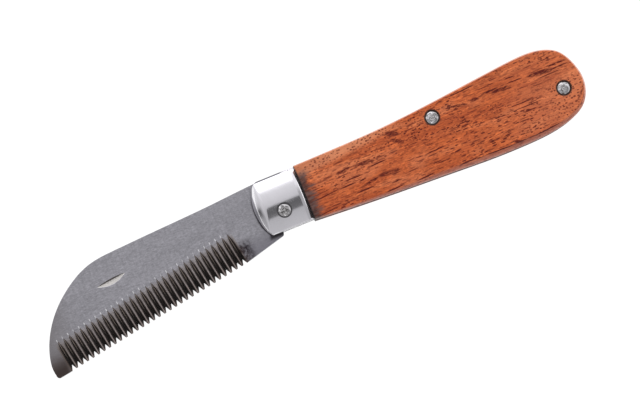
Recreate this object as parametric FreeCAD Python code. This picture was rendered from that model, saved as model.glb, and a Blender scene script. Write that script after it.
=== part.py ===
import FreeCAD, Part
import os, math
from FreeCAD import Vector as V

os.makedirs("parts", exist_ok=True)

# ---------------------------------------------------------------------------
# Folding slip-joint thinning knife, lying open on its rear scale. Millimetres.
# Everything is drawn with the blade pivot at X = Y = 0, +X toward the butt,
# +Y toward the handle's back and +Z up, through the knife's thickness. It is
# then moved by (-ORIGIN_X, -ORIGIN_Y) so that the origin is the middle of the
# base of the open knife.
# ---------------------------------------------------------------------------

# stack through the thickness
Z_MID = 7.0                # middle plane: everything but the blade's grind mirrors about it
BLADE_T = 2.5              # blade
SPRING_T = 2.74            # backspring, 0.03 clear of each liner
SLOT_T = 2.8               # gap between the liners
LINER_T = 0.9              # liner
SCALE_T = 4.7              # wooden scale
BOLSTER_T = 4.1            # bolster at its crown
Z_LINER = Z_MID + SLOT_T / 2        # 8.4  inner face of the front liner
Z_SIDE = Z_LINER + LINER_T          # 9.3  outer face of the front liner
Z_SCALE = Z_SIDE + SCALE_T          # 14.0 front face of the front scale
Z_BOLSTER = Z_SIDE + BOLSTER_T      # 13.4 crown of the front bolster

# pins, all across the thickness
PIVOT = (0.0, 0.0)
CENTRE = (53.3, 9.2)
BUTT = (94.7, 2.2)
PIVOT_R = 1.2
PIN_R = 1.0
RUN = 0.03                 # radial running clearance of blade and spring on their pins
SET = 0.01                 # radial clearance of pins set in the handle
ROSETTE_R = 2.08           # domed rosette round a pin's end
ROSETTE_RIM = 0.32
ROSETTE_H = 0.80
POCKET_R = 2.38            # round pocket that the rosette sits in
POCKET_D = 0.86            # its depth
SUNK = 0.04                # rosette's top below the face

# handle
X_JOINT = 7.6              # bolster meets scale
JOINT_GAP = 0.05
ROUND_BACK = 0.9           # rounding of the scale's outer edge, at the back beside the bolster
ROUND_BELLY = 1.9          # and at the end of its way round, at the belly
CROWN_R = 31.0             # crown of the bolster's face, across the handle
CROWN_Y = 2.9              # its highest line

# blade
TOOTH_N = 32               # V grooves
TOOTH_PITCH = 2.01         # along the edge
EDGE_SLOPE = math.atan(0.1661)      # tooth line's slope to the handle's axis
EDGE_Y0 = -7.76            # tooth line's height over the pivot, at X = 0
GROOVE_X0 = -79.1          # X of the first groove at the edge
# depth of a groove under the front face, at heights over the tooth line: a quick run-out at its top
GROOVE = [(-2.0, 1.31), (0.0, 1.26), (2.0, 1.20), (4.5, 1.10), (6.5, 0.98), (8.3, 0.80), (9.6, 0.50), (10.6, 0.14), (11.0, -0.02)]
GROOVE_TOPS = (10.45, 11.45)        # height of the first and the last groove's top; GROOVE is stretched to it
GROOVE_K = 0.68            # half width of the V per unit of depth
BACK_BEVEL_S = 4.0         # bevel on the rear face that sharpens the teeth: where it starts
BACK_BEVEL_H = 2.30        # and how deep it is at the tooth line
TIP_BEVEL_S = 0.38         # small break of the teeth's front corners
TIP_BEVEL_H = 0.12
SPRING_Y = 6.20            # spring's face on the tang
TANG_FLAT = 6.17           # tang's flat under the spring
TANG_R = 6.84              # tang's rear arc
KICK = (-3.2, -7.0)        # kick: stops the closed blade on the spring

# origin of the row in this drawing frame
ORIGIN_X = 8.2
ORIGIN_Y = -2.47


def place(shape):
    s = shape.copy()
    s.translate(V(-ORIGIN_X, -ORIGIN_Y, 0))
    return s


def save(shape, name):
    s = place(shape)
    s.exportStep("parts/" + name + ".step")
    bb = s.BoundBox
    print(name, len(s.Solids), s.isValid(), "%.2f %.2f %.2f | %.2f %.2f %.2f" % (bb.XMin, bb.YMin, bb.ZMin, bb.XMax, bb.YMax, bb.ZMax), "vol %.1f" % s.Volume)


def mirror(shape):
    return shape.mirror(V(0, 0, Z_MID), V(0, 0, 1))


def spline(pts):
    c = Part.BSplineCurve()
    c.interpolate(Points=[V(x, y, 0) for x, y in pts])
    return c.toShape()


def line(a, b, z=0.0):
    return Part.makeLine(V(a[0], a[1], z), V(b[0], b[1], z))


def arc(a, m, b, z=0.0):
    return Part.Arc(V(a[0], a[1], z), V(m[0], m[1], z), V(b[0], b[1], z)).toShape()


def prism(edges, z0, z1):
    w = Part.Wire(Part.__sortEdges__(edges))
    f = Part.Face(w)
    f.translate(V(0, 0, z0))
    s = f.extrude(V(0, 0, z1 - z0))
    return s


def drill(shape, at, r, z0=-1.0, z1=15.0):
    return shape.cut(Part.makeCylinder(r, z1 - z0, V(at[0], at[1], z0)))


def one(shape):
    """The shape as a single clean solid, or a compound when it has several."""
    s = shape.removeSplitter()
    if len(s.Solids) == 1:
        return s.Solids[0]
    return Part.makeCompound(s.Solids)


# ---------------------------------------------------------------------------
# outlines
# ---------------------------------------------------------------------------
# handle from the joint, along the back, round the butt and back along the belly
GRIP = [(7.6, 11.75), (22, 11.93), (36, 12.33), (50, 13.33), (64, 14.70), (76, 15.93), (83, 16.56),
        (87, 16.72), (91, 16.42), (94.6, 15.42), (97.4, 13.75), (99.35, 11.3), (100.85, 7.9), (101.65, 4.6),
        (101.6, 1.3), (100.55, -2.05), (98.4, -4.95), (94.75, -7.05), (90.4, -8.32), (85, -9.1), (77, -9.46),
        (67, -9.42), (55, -8.9), (40, -8.2), (25, -7.4), (7.6, -6.25)]

# bolster's front edge, from its upper to its lower corner
NOSE = [(-5.3, 11.45), (-6.35, 10.75), (-7.6, 8.6), (-8.5, 5.9), (-8.8, 2.3), (-8.4, -0.75), (-7.7, -3.4), (-6.5, -5.35)]
BOL_TOP = 11.62            # bolster's upper edge
BOL_BOT = -5.85            # and its lower edge


def grip_outline(inset=0.0):
    """The grip's edge as one spline; inset moves it inward along its normals."""
    e = spline(GRIP)
    if not inset:
        return e
    c = e.Curve
    pts = []
    n = 60
    f, l = c.FirstParameter, c.LastParameter
    for i in range(n + 1):
        t = f + (l - f) * i / n
        p = c.value(t)
        d = c.tangent(t)[0]
        pts.append((p.x + d.y * inset, p.y - d.x * inset))
    pts[0] = (GRIP[0][0], GRIP[0][1] - inset)
    pts[-1] = (GRIP[-1][0], GRIP[-1][1] + inset)
    return spline(pts)


def nose_edges(x_end, proud=0.0):
    """Bolster's outline from the joint's top, round the nose, to the joint's bottom; proud lifts its long edges."""
    top_b = (-4.6, BOL_TOP)
    bot_b = (-5.8, BOL_BOT)
    top_a = (x_end, BOL_TOP + proud)
    bot_a = (x_end, BOL_BOT - proud)
    e = [line(top_a, (-4.6, BOL_TOP + proud)),
         arc(top_b, (-5.0, 11.58), NOSE[0]),
         spline(NOSE),
         arc(NOSE[-1], (-6.27, -5.72), bot_b),
         line((-5.8, BOL_BOT - proud), bot_a)]
    if proud:
        e += [line((-4.6, BOL_TOP + proud), top_b), line(bot_b, (-5.8, BOL_BOT - proud))]
    return e, top_a, bot_a


# ---------------------------------------------------------------------------
# scales
# ---------------------------------------------------------------------------
XS = X_JOINT + JOINT_GAP


def scale_blank(z0, z1):
    g = prism([grip_outline(), line(GRIP[-1], GRIP[0])], z0, z1)
    return g.cut(Part.makeBox(JOINT_GAP, 60, 20, V(X_JOINT, -30, -1)))


def rounded(solid, z_face, ease):
    """Round the outer edge of the grip, and ease the edge beside the bolster."""
    big = [e for e in solid.Edges if abs(e.BoundBox.ZMin - z_face) < 1e-3 and e.BoundBox.XMax - e.BoundBox.XMin > 20]
    s = solid.makeFillet(ROUND_BACK, ROUND_BELLY, big)
    wedge = Part.Face(Part.makePolygon([V(XS - 0.05, -30, z_face + 0.05), V(XS + ease, -30, z_face + 0.05),
                                        V(XS - 0.05, -30, z_face - ease), V(XS - 0.05, -30, z_face + 0.05)]))
    return s.cut(wedge.extrude(V(0, 60, 0)))


front_scale = rounded(scale_blank(Z_SIDE, Z_SCALE), Z_SCALE, 0.22)


def pocket(shape, at, z_face, pin_r):
    s = shape.cut(Part.makeCylinder(POCKET_R, POCKET_D + 1.0, V(at[0], at[1], z_face - POCKET_D)))
    return drill(s, at, pin_r + SET)


for at in (CENTRE, BUTT):
    front_scale = pocket(front_scale, at, Z_SCALE, PIN_R)
front_scale = one(front_scale)

# ---------------------------------------------------------------------------
# bolsters: crowned across, bevelled down to the nose
# ---------------------------------------------------------------------------
BOL_ROUND = 0.7            # rounding of the bolster's long edges
BOL_EASE = 1.3             # its face rolls off beside the scale, over this width
BOL_DROP = 0.42            # and by this much
axis_z = Z_BOLSTER - CROWN_R


def crown_z(y, r=CROWN_R):
    return axis_z + math.sqrt(r * r - (y - CROWN_Y) ** 2)


# section across the handle: flat on the liner, two upright sides, a crowned face
y0, y1 = BOL_BOT, BOL_TOP
top_arc = [(y, crown_z(y)) for y in (y1, CROWN_Y, y0)]
sec = [Part.makeLine(V(0, y0, Z_SIDE), V(0, y1, Z_SIDE)),
       Part.makeLine(V(0, y1, Z_SIDE), V(0, y1, top_arc[0][1])),
       Part.Arc(V(0, *top_arc[0]), V(0, *top_arc[1]), V(0, *top_arc[2])).toShape(),
       Part.makeLine(V(0, y0, top_arc[2][1]), V(0, y0, Z_SIDE))]
bar = Part.Face(Part.Wire(sec)).extrude(V(X_JOINT + 14, 0, 0))
bar.translate(V(-14, 0, 0))
long_edges = [e for e in bar.Edges if e.BoundBox.XMax - e.BoundBox.XMin > 10 and e.BoundBox.ZMin > Z_SIDE + 1]
bar = bar.makeFillet(BOL_ROUND, long_edges)
# nose outline
edges, ta, ba = nose_edges(X_JOINT, 1.0)
bolster = bar.common(prism(edges + [line(ba, ta)], Z_SIDE, Z_BOLSTER + 1))
# rounding beside the scale: a body turned about the crown's axis
ease_r = (BOL_EASE ** 2 + BOL_DROP ** 2) / (2 * BOL_DROP)
half = math.asin(BOL_EASE / ease_r) / 2
ease_mid = (X_JOINT - BOL_EASE + ease_r * math.sin(half), Z_BOLSTER - ease_r * (1 - math.cos(half)))
turn = Part.Wire([Part.makeLine(V(-14, CROWN_Y, axis_z + 20), V(-14, CROWN_Y, Z_BOLSTER + 1)),
                  Part.makeLine(V(-14, CROWN_Y, Z_BOLSTER + 1), V(X_JOINT - 3.0, CROWN_Y, Z_BOLSTER + 1)),
                  Part.makeLine(V(X_JOINT - 3.0, CROWN_Y, Z_BOLSTER + 1), V(X_JOINT - 3.0, CROWN_Y, Z_BOLSTER)),
                  Part.makeLine(V(X_JOINT - 3.0, CROWN_Y, Z_BOLSTER), V(X_JOINT - BOL_EASE, CROWN_Y, Z_BOLSTER)),
                  Part.Arc(V(X_JOINT - BOL_EASE, CROWN_Y, Z_BOLSTER), V(ease_mid[0], CROWN_Y, ease_mid[1]),
                           V(X_JOINT, CROWN_Y, Z_BOLSTER - BOL_DROP)).toShape(),
                  Part.makeLine(V(X_JOINT, CROWN_Y, Z_BOLSTER - BOL_DROP), V(X_JOINT, CROWN_Y, axis_z + 20)),
                  Part.makeLine(V(X_JOINT, CROWN_Y, axis_z + 20), V(-14, CROWN_Y, axis_z + 20))])
lathe = Part.Face(turn)
lathe.rotate(V(0, CROWN_Y, axis_z), V(1, 0, 0), -30)
lathe = lathe.revolve(V(0, CROWN_Y, axis_z), V(1, 0, 0), 60)
bolster = bolster.common(lathe)
# nose bevel: convex, from a crease across the face down to a thin wall at the nose
bev = [(-5.35, Z_BOLSTER + 0.02), (-7.35, 12.25), (-9.2, 9.75)]
prof = Part.Wire([Part.Arc(V(bev[0][0], 0, bev[0][1]), V(bev[1][0], 0, bev[1][1]), V(bev[2][0], 0, bev[2][1])).toShape(),
                  Part.makeLine(V(bev[2][0], 0, bev[2][1]), V(-14, 0, 9.75)),
                  Part.makeLine(V(-14, 0, 9.75), V(-14, 0, 16)),
                  Part.makeLine(V(-14, 0, 16), V(bev[0][0], 0, 16)),
                  Part.makeLine(V(bev[0][0], 0, 16), V(bev[0][0], 0, bev[0][1]))])
tool = Part.Face(prof).extrude(V(0, 40, 0))
tool.translate(V(0, -20, 0))
tool.rotate(V(bev[0][0], CROWN_Y, 0), V(0, 0, 1), -2.6)
bolster = bolster.cut(tool)
# a small facet, filed on the upper corner beside the scale
FACET = [(3.6, 11.62), (7.6, 9.35)]        # its line on the face
FACET_DROP = 0.95                          # depth at the corner
fa = V(FACET[0][0], FACET[0][1], crown_z(FACET[0][1]) - 0.16)
fb = V(FACET[1][0], FACET[1][1], crown_z(FACET[1][1]))
fc = V(X_JOINT, BOL_TOP, crown_z(BOL_TOP) - FACET_DROP)
nrm = (fb - fa).cross(fc - fa)
if nrm.z < 0:
    nrm = nrm * -1
nrm.normalize()
slab = Part.makeBox(30, 30, 6, V(-15, -15, 0))
slab.Placement = FreeCAD.Placement(fa, FreeCAD.Rotation(V(0, 0, 1), nrm))
RIVETS = [(4.9, 8.6), (4.9, -3.6)]
RIVET_R = 0.8
RIVET_TOP = 12.0


def finish_bolster(shape):
    """Pivot hole with its pocket, and two blind rivet holes from the liner's side."""
    s = pocket(shape, PIVOT, Z_BOLSTER, PIVOT_R)
    for at in RIVETS:
        s = s.cut(Part.makeCylinder(RIVET_R + SET, RIVET_TOP - Z_LINER + 1, V(at[0], at[1], Z_LINER - 1)))
    return one(s)


front_bolster = finish_bolster(bolster.cut(slab))
rear_bolster = mirror(finish_bolster(bolster))

# rivets that hold a bolster to its liner, flush with the liner's inner face
rivets = [Part.makeCylinder(RIVET_R, RIVET_TOP - 0.02 - (Z_LINER + 0.02), V(a[0], a[1], Z_LINER + 0.02)) for a in RIVETS]
front_rivets = Part.makeCompound(rivets)

# ---------------------------------------------------------------------------
# liners
# ---------------------------------------------------------------------------
LIN = 0.12                 # liner's edge inside the scale's edge
g = grip_outline(LIN)
gp0 = (GRIP[0][0], GRIP[0][1] - LIN)
gp1 = (GRIP[-1][0], GRIP[-1][1] + LIN)
edges, ta, ba = nose_edges(X_JOINT)
liner_edges = edges + [line(ta, gp0), g, line(gp1, ba)]
liner_edges = [e for e in liner_edges if e.Length > 1e-4]
liner = prism(liner_edges, Z_LINER, Z_SIDE)
liner = drill(liner, PIVOT, PIVOT_R + SET)
for at in (CENTRE, BUTT):
    liner = drill(liner, at, PIN_R + SET)
for at in RIVETS:
    liner = drill(liner, at, RIVET_R + SET)
front_liner = one(liner)

# ---------------------------------------------------------------------------
# pins and rosettes
# ---------------------------------------------------------------------------


def rosette(at, z_face, pin_r):
    """Domed washer, set in its pocket round the pin's end."""
    z0 = z_face - POCKET_D
    top = z_face - SUNK
    h = top - z0
    sag = h - ROSETTE_RIM
    r_dome = (ROSETTE_R ** 2 + sag ** 2) / (2 * sag)
    body = Part.makeCylinder(ROSETTE_R, h, V(at[0], at[1], z0))
    ball = Part.makeSphere(r_dome, V(at[0], at[1], top - r_dome))
    s = body.common(ball)
    s = s.cut(Part.makeCylinder(pin_r + SET, 5, V(at[0], at[1], z0 - 1)))
    return one(s)


def pin(at, r, z_face):
    """Straight pin, with its two ends peened flush in the rosettes."""
    top = z_face - SUNK - 0.03
    bot = 2 * Z_MID - top
    s = Part.makeCylinder(r, top - bot, V(at[0], at[1], bot))
    rims = [e for e in s.Edges if e.Curve.TypeId == "Part::GeomCircle"]
    return s.makeChamfer(0.12, rims)


pivot_pin = pin(PIVOT, PIVOT_R, Z_BOLSTER)
centre_pin = pin(CENTRE, PIN_R, Z_SCALE)
butt_pin = pin(BUTT, PIN_R, Z_SCALE)
ros_pivot = rosette(PIVOT, Z_BOLSTER, PIVOT_R)
ros_centre = rosette(CENTRE, Z_SCALE, PIN_R)
ros_butt = rosette(BUTT, Z_SCALE, PIN_R)

# ---------------------------------------------------------------------------
# backspring: rides the tang in front, rocks on the centre pin, is held at the butt pin
# ---------------------------------------------------------------------------
TAIL_Y = -3.0
c = grip_outline(LIN).Curve
f, l = c.FirstParameter, c.LastParameter
# parameter where the outline comes down the butt to TAIL_Y
ts = [f + (l - f) * i / 4000 for i in range(4001)]
t_tail = next(t for t in ts if c.value(t).x > 95 and c.value(t).y < TAIL_Y)
outer_e = c.toShape(f, t_tail)
tail = c.value(t_tail)
SPRING_X = -3.95
belly = [(8.0, 7.15), (12, 7.9), (20, 8.25), (33, 8.4), (44, 7.75), (49.5, 6.85), (53.3, 6.6), (57.5, 6.8),
         (65, 7.9), (75, 9.1), (83, 9.3), (87.8, 8.3), (90.4, 5.6), (90.9, 2.2), (91.9, -0.6), (94.3, -2.3)]
spring_edges = [line((SPRING_X, SPRING_Y), (5.3, SPRING_Y)),
                spline([(5.3, SPRING_Y)] + belly),
                line(belly[-1], (tail.x, tail.y)),
                outer_e,
                line((c.value(f).x, c.value(f).y), (X_JOINT, BOL_TOP)) if abs(c.value(f).y - BOL_TOP) > 1e-4 else None,
                line((X_JOINT, BOL_TOP), (SPRING_X, BOL_TOP)),
                line((SPRING_X, BOL_TOP), (SPRING_X, SPRING_Y))]
spring_edges = [e for e in spring_edges if e is not None]
spring = prism(spring_edges, Z_MID - SPRING_T / 2, Z_MID + SPRING_T / 2)
spring = drill(spring, CENTRE, PIN_R + RUN)
spring = drill(spring, BUTT, PIN_R + RUN)
backspring = one(spring)

# ---------------------------------------------------------------------------
# blade
# ---------------------------------------------------------------------------
ZB0 = Z_MID - BLADE_T / 2      # rear face
ZB1 = Z_MID + BLADE_T / 2      # front face


def edge_pt(x):
    return (x, EDGE_Y0 + math.tan(EDGE_SLOPE) * x)


SPINE = [(-4.0, 11.62), (-12, 11.12), (-20, 10.52), (-32, 9.87), (-44, 9.31), (-53, 8.83), (-58, 8.5), (-62, 7.87),
         (-66, 6.52), (-71, 3.72), (-76, -0.22), (-80.2, -4.95), (-83.1, -9.85), (-84.85, -14.7), (-85.34, -18.6),
         (-85.05, -20.5)]
tip_corner = (-84.3, -21.70)
land_end = edge_pt(-80.05)
last_pt = edge_pt(-16.9)
heel = (-16.6, -10.36)
SH_X = -4.0                    # notch that the spring's end closes
# tang
a0 = math.asin(TANG_FLAT / TANG_R)
flat_end = (TANG_R * math.cos(a0), TANG_FLAT)
a1 = math.radians(-52)
arc_end = (TANG_R * math.cos(a1), TANG_R * math.sin(a1))
am = (a0 + a1) / 2
arc_mid = (TANG_R * math.cos(am), TANG_R * math.sin(am))
edges = [spline(SPINE),
         arc(SPINE[-1], (-84.86, -21.28), tip_corner),
         line(tip_corner, land_end),
         line(land_end, last_pt),
         line(last_pt, heel),
         line(heel, (KICK[0] - 0.55, KICK[1] - 0.12)),
         arc((KICK[0] - 0.55, KICK[1] - 0.12), (KICK[0], KICK[1] + 0.10), (KICK[0] + 0.22, KICK[1] + 0.45)),
         line((KICK[0] + 0.22, KICK[1] + 0.45), (-2.7, -5.55)),
         line((-2.7, -5.55), arc_end),
         arc(arc_end, arc_mid, flat_end),
         line(flat_end, (SH_X, TANG_FLAT)),
         line((SH_X, TANG_FLAT), (SH_X, SPINE[0][1]))]
blade = prism(edges, ZB0, ZB1)
blade = drill(blade, PIVOT, PIVOT_R + RUN)

# Local frame along the tooth line: s is the height above the line, h the height over the rear face.
ux = V(math.cos(EDGE_SLOPE), math.sin(EDGE_SLOPE), 0)      # toward the heel
us = V(-math.sin(EDGE_SLOPE), math.cos(EDGE_SLOPE), 0)     # up the blade
uz = V(0, 0, 1)
E0 = V(0, EDGE_Y0, 0)


def at_edge(u, s, h):
    p = E0 + ux * u + us * s + uz * (ZB0 + h)
    return p


def face(points):
    return Part.Face(Part.makePolygon(list(points) + [points[0]]))


# the tooth line is straight: trim everything below it along the teeth
def u_of(x):
    return x / math.cos(EDGE_SLOPE)


def sheared(profile, u0, u1):
    """Prism along the tooth line from u0 to u1 with a profile in (s, h)."""
    f = face([at_edge(u0, s, h) for s, h in profile])
    return f.extrude(ux * (u1 - u0))


HEEL_U = u_of(-16.6)
FRONT_U = u_of(-95)
# below the tooth line
blade = blade.cut(sheared([(0, -1), (0, 4), (-6, 4), (-6, -1)], FRONT_U, HEEL_U))
# a small break along the teeth's front corners
first_u = u_of(GROOVE_X0)
last_u = first_u + (TOOTH_N - 1) * TOOTH_PITCH
back_k = BACK_BEVEL_H / BACK_BEVEL_S
tip_k = TIP_BEVEL_H / TIP_BEVEL_S
brk = sheared([(TIP_BEVEL_S, BLADE_T), (TIP_BEVEL_S, BLADE_T + 1), (-1.0, BLADE_T + 1), (-1.0, BLADE_T - tip_k * (TIP_BEVEL_S + 1.0))], first_u - 0.9, last_u + 0.9)
blade = blade.cut(brk)
# rear bevel along the teeth
rear = sheared([(BACK_BEVEL_S, 0), (BACK_BEVEL_S, -1), (-1.0, -1), (-1.0, back_k * (BACK_BEVEL_S + 1.0))], first_u - 1.0, last_u + 1.0)
blade = blade.cut(rear)


def groove(u, s_top):
    """V groove: its bottom follows GROOVE, its walls lean out by GROOVE_K, and it is drawn past the front face."""
    over = 1.5
    top = BLADE_T + over
    run = [(s * s_top / GROOVE[-1][0], d) for s, d in GROOVE]
    apex = [at_edge(u, s, BLADE_T - d) for s, d in run]
    left = [at_edge(u - (d + over) * GROOVE_K, s, top) for s, d in run]
    right = [at_edge(u + (d + over) * GROOVE_K, s, top) for s, d in run]
    faces = [face([apex[0], right[0], left[0]]), face([apex[-1], left[-1], right[-1]]), face(left + right[::-1])]
    for i in range(len(GROOVE) - 1):
        faces.append(face([apex[i], left[i], left[i + 1], apex[i + 1]]))
        faces.append(face([apex[i], apex[i + 1], right[i + 1], right[i]]))
    g = Part.makeSolid(Part.makeShell(faces))
    if g.Volume < 0:
        g.reverse()
    return g


tools = []
for i in range(TOOTH_N):
    s_top = GROOVE_TOPS[0] + (GROOVE_TOPS[1] - GROOVE_TOPS[0]) * i / (TOOTH_N - 1)
    lim = sheared([(-2, -2), (-2, 2.9), (11.9, 2.9), (11.9, -2)], first_u + i * TOOTH_PITCH - 1.0, first_u + i * TOOTH_PITCH + 1.0)
    tools.append(groove(first_u + i * TOOTH_PITCH, s_top).common(lim))
blade = blade.cut(tools)

# nail nick: a shallow eye, steep above and sloping below
NICK_A = V(-63.3, 0.02, ZB1)
NICK_B = V(-53.1, 1.15, ZB1)
NICK_D = 0.62
NICK_UP = 0.5
NICK_DOWN = 1.45
mid = (NICK_A + NICK_B) * 0.5
half = NICK_A.distanceToPoint(NICK_B) / 2
along = (NICK_B - NICK_A).normalize()
up = V(-along.y, along.x, 0)
R = (half ** 2 + NICK_D ** 2) / (2 * NICK_D)
centre = mid + uz * (R - NICK_D)
cone_up = Part.makeCone(R, R - 2.4 * NICK_D, 2.4 * NICK_UP, centre, up)
cone_dn = Part.makeCone(R, R - 2.4 * NICK_D, 2.4 * NICK_DOWN, centre, up * -1)
nick = cone_up.fuse(cone_dn)
blade = blade.cut(nick)
blade = one(blade)

# ---------------------------------------------------------------------------
# write
# ---------------------------------------------------------------------------
save(blade, "blade")
save(backspring, "backspring")
save(front_liner, "front_liner")
save(mirror(front_liner), "rear_liner")
save(front_bolster, "front_bolster")
save(rear_bolster, "rear_bolster")
save(front_scale, "front_scale")
save(mirror(front_scale), "rear_scale")
save(pivot_pin, "pivot_pin")
save(centre_pin, "centre_pin")
save(butt_pin, "butt_pin")
save(ros_pivot, "front_pivot_rosette")
save(mirror(ros_pivot), "rear_pivot_rosette")
save(ros_centre, "front_centre_rosette")
save(mirror(ros_centre), "rear_centre_rosette")
save(ros_butt, "front_butt_rosette")
save(mirror(ros_butt), "rear_butt_rosette")
save(front_rivets, "front_bolster_rivets")
save(mirror(front_rivets), "rear_bolster_rivets")
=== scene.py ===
import bpy, bmesh, math
from mathutils import Vector, Matrix


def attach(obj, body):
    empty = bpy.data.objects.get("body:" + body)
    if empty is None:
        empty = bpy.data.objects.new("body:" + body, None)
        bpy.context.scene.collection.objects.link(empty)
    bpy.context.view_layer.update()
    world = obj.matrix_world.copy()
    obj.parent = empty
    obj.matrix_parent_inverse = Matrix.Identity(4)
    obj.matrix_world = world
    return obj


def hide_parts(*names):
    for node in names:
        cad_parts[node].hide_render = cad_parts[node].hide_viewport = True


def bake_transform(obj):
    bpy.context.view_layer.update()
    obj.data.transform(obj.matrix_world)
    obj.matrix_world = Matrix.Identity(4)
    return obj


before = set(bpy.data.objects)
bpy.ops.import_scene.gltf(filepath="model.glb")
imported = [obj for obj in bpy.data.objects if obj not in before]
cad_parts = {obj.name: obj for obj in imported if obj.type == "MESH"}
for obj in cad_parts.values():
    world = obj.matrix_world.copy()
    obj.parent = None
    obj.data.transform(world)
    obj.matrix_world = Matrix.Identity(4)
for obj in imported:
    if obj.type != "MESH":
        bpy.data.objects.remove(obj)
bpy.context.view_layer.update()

# ---------------------------------------------------------------------------
# The knife is described in millimetres with the blade pivot at X = Y = 0, +X to
# the butt, +Y to the back. P() takes such a point to the row frame, in metres.
# ---------------------------------------------------------------------------
OX, OY = 8.2, -2.47
MM = 0.001


def P(x, y, z=0.0):
    return Vector(((x - OX) * MM, (y - OY) * MM, z * MM))


Z_MID, Z_SIDE, Z_SCALE, Z_BOL = 7.0, 9.3, 14.0, 13.4
PIVOT, CENTRE, BUTT = (0.0, 0.0), (53.3, 9.2), (94.7, 2.2)
X_SCALE = 7.65
GRIP = [(7.6, 11.75), (22, 11.93), (36, 12.33), (50, 13.33), (64, 14.70), (76, 15.93), (83, 16.56),
        (87, 16.72), (91, 16.42), (94.6, 15.42), (97.4, 13.75), (99.35, 11.3), (100.85, 7.9), (101.65, 4.6),
        (101.6, 1.3), (100.55, -2.05), (98.4, -4.95), (94.75, -7.05), (90.4, -8.32), (85, -9.1), (77, -9.46),
        (67, -9.42), (55, -8.9), (40, -8.2), (25, -7.4), (7.6, -6.25)]
EDGE_SLOPE = math.atan(0.1661)
EDGE_Y0 = -7.76
TOOTH_PITCH = 2.01
FIRST_U = -79.1 / math.cos(EDGE_SLOPE)
GROOVE_S = 10.9            # height of the grooves' tops, after stretching each groove to the same height
ZB0, ZB1 = Z_MID - 1.25, Z_MID + 1.25

# ---------------------------------------------------------------------------
# camera, world, floor
# ---------------------------------------------------------------------------
scene = bpy.context.scene
scene.view_settings.view_transform = "Standard"
scene.view_settings.look = "None"
scene.view_settings.exposure = 0.0
scene.view_settings.gamma = 1.0

RIGHT = Vector((0.9252, -0.3795, 0)).normalized()
DOWN = Vector((-0.3795, -0.9252, 0)).normalized()
TILT = math.radians(3.5)
DIST = 0.8
WIDE = 0.1984
target = P(10.85, -3.04, 13.4) - RIGHT * 0.00019 - DOWN * 0.00009
to_cam = (DOWN * math.sin(TILT) + Vector((0, 0, 1)) * math.cos(TILT)).normalized()
cam_data = bpy.data.cameras.new("camera")
cam_data.sensor_width = 36.0
cam_data.lens = 36.0 * DIST / WIDE
cam_data.clip_start = 0.01
cam_data.clip_end = 20
cam = bpy.data.objects.new("camera", cam_data)
scene.collection.objects.link(cam)
cam_up = to_cam.cross(RIGHT).normalized()
m = Matrix((RIGHT, cam_up, to_cam)).transposed().to_4x4()
m.translation = target + to_cam * DIST
cam.matrix_world = m
scene.camera = cam


def lin(c, k=1.0):
    """sRGB 0-255 to a linear colour."""
    out = []
    for v in c[:3]:
        v = v / 255.0
        out.append((v / 12.92 if v <= 0.04045 else ((v + 0.055) / 1.055) ** 2.4) * k)
    return (*out, 1.0)


class Tree:
    """Small helper to write node trees in a few lines."""

    def __init__(self, tree):
        self.t = tree

    def node(self, kind, **kw):
        n = self.t.nodes.new(kind)
        ins = kw.pop("ins", {})
        for k, v in kw.items():
            setattr(n, k, v)
        for k, v in ins.items():
            self.put(n.inputs[k], v)
        return n

    def put(self, sock, v):
        if isinstance(v, bpy.types.NodeSocket):
            self.t.links.new(v, sock)
        elif isinstance(v, bpy.types.Node):
            self.t.links.new(v.outputs[0], sock)
        else:
            sock.default_value = v

    def math(self, op, a, b=None, c=None, clamp=False):
        n = self.node("ShaderNodeMath", operation=op, use_clamp=clamp)
        self.put(n.inputs[0], a)
        if b is not None:
            self.put(n.inputs[1], b)
        if c is not None:
            self.put(n.inputs[2], c)
        return n.outputs[0]

    def ramp(self, v, lo, hi, a=0.0, b=1.0, smooth=True):
        n = self.node("ShaderNodeMapRange", interpolation_type="SMOOTHSTEP" if smooth else "LINEAR", clamp=True) if smooth \
            else self.node("ShaderNodeMapRange", interpolation_type="LINEAR", clamp=True)
        self.put(n.inputs["Value"], v)
        self.put(n.inputs["From Min"], lo)
        self.put(n.inputs["From Max"], hi)
        self.put(n.inputs["To Min"], a)
        self.put(n.inputs["To Max"], b)
        return n.outputs["Result"]

    def mix(self, f, a, b, blend="MIX"):
        n = self.node("ShaderNodeMix", data_type="RGBA", blend_type=blend, clamp_factor=True)
        self.put(n.inputs[0], f)
        self.put(n.inputs[6], a)
        self.put(n.inputs[7], b)
        return n.outputs[2]

    def noise(self, vec, scale, detail=2.0, rough=0.5, dist=0.0):
        n = self.node("ShaderNodeTexNoise", noise_dimensions="3D")
        self.put(n.inputs["Vector"], vec)
        self.put(n.inputs["Scale"], scale)
        self.put(n.inputs["Detail"], detail)
        self.put(n.inputs["Roughness"], rough)
        self.put(n.inputs["Distortion"], dist)
        return n

    def mapping(self, vec, loc=(0, 0, 0), rot=(0, 0, 0), scale=(1, 1, 1)):
        n = self.node("ShaderNodeMapping", vector_type="POINT")
        self.put(n.inputs["Vector"], vec)
        n.inputs["Location"].default_value = loc
        n.inputs["Rotation"].default_value = rot
        n.inputs["Scale"].default_value = scale
        return n.outputs[0]

    def sep(self, vec):
        n = self.node("ShaderNodeSeparateXYZ")
        self.put(n.inputs[0], vec)
        return n.outputs[0], n.outputs[1], n.outputs[2]

    def comb(self, x, y, z):
        n = self.node("ShaderNodeCombineXYZ")
        for s, v in zip(n.inputs, (x, y, z)):
            self.put(s, v)
        return n.outputs[0]


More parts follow.
